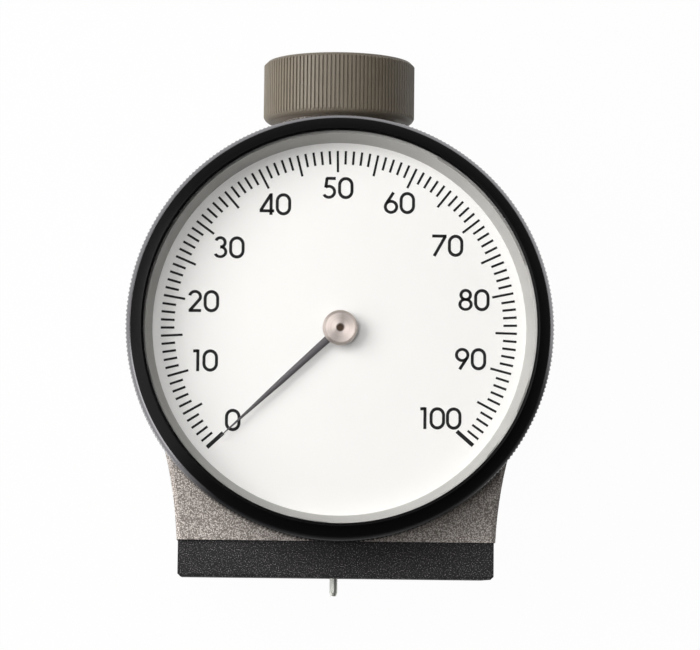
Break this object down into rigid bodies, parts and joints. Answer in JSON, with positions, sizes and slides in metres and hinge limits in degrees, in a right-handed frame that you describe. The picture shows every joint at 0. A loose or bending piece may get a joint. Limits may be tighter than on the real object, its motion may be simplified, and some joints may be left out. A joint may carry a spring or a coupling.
{
  "type": "durometer",
  "caption": "Hand-held dial durometer: round white scale in a knurled bezel, ribbed top knob, and a sprung indenter in a flat foot that drives the pointer.",
  "frame": {"origin": "on the dial's axis, in the plane of the back cover's outer face, which the part lies on", "axes": "+X across the dial to its right, +Y from the foot up to the knob, +Z out of the dial"},
  "size_m": [0.0588, 0.0759, 0.0315],
  "materials": {
    "case_paint": "taupe crinkle paint on a cast case",
    "cover_paint": "smooth taupe paint",
    "foot_black": "charcoal, fine blasted",
    "knob_taupe": "satin taupe",
    "bezel_black": "polished black face with a bright knurled rim",
    "crystal_glass": "clear and polished",
    "gasket_rubber": "black",
    "ring_silver": "satin turned",
    "dial_white": "satin white",
    "pointer_grey": "dark grey",
    "hub_nickel": "turned, warm nickel",
    "indenter_steel": "hardened and polished",
    "steel": "ground",
    "screw_steel": "dark, machined",
    "spring_steel": "drawn wire and strip",
    "brass": "machined"
  },
  "bodies": {
    "housing": {"case": "case_paint", "back_cover": "cover_paint", "back_cover_screws": "screw_steel", "presser_foot": "foot_black", "foot_screws": "screw_steel", "top_knob": "knob_taupe", "bezel": "bezel_black", "crystal": "crystal_glass", "crystal_gasket": "gasket_rubber", "dial_spacer_ring": "ring_silver", "dial_plate": "dial_white", "lower_bush": "brass", "main_spring": "spring_steel", "spring_adjuster": "brass", "adjuster_lock_ring": "steel", "front_plate": "brass", "rear_plate": "brass", "plate_pillars": "steel", "pillar_screws": "screw_steel", "movement_screws": "screw_steel", "centre_bridge": "brass", "bridge_pillars": "steel", "bridge_screws": "screw_steel", "pivot_bushes": "brass", "hairspring": "spring_steel", "hairspring_stud": "steel"},
    "spindle": {"spindle": "steel", "indenter": "indenter_steel", "spring_collar": "brass", "stop_collar": "brass", "guide_pin": "steel"},
    "gear": {"gear_arbor": "steel", "transfer_gear": "brass"},
    "pointer": {"centre_arbor": "steel", "hairspring_collet": "brass", "pointer": "pointer_grey", "pointer_hub": "hub_nickel"}
  },
  "joints": [
    {"name": "indenter_slide", "type": "slide", "parent": "housing", "child": "spindle", "axis": [0, 1, 0], "range_m": [0, 0.0025], "stiffness_N_per_m": 3000, "springref_m": -0.00018, "deforming": ["main_spring"]},
    {"name": "gear_turn", "type": "hinge", "parent": "housing", "child": "gear", "pos_m": [-0.00365, -0.00836, 0.013], "axis": [0, 0, 1], "range_deg": [-1, 70]},
    {"name": "pointer_turn", "type": "hinge", "parent": "housing", "child": "pointer", "pos_m": [0, 0, 0.02], "axis": [0, 0, 1], "range_deg": [-266, 1], "deforming": ["hairspring"]}
  ],
  "couplings": [
    {"joint": "gear_turn", "follows": "indenter_slide", "rad_per_m": 476.19},
    {"joint": "pointer_turn", "follows": "indenter_slide", "rad_per_m": -1841.3}
  ]
}
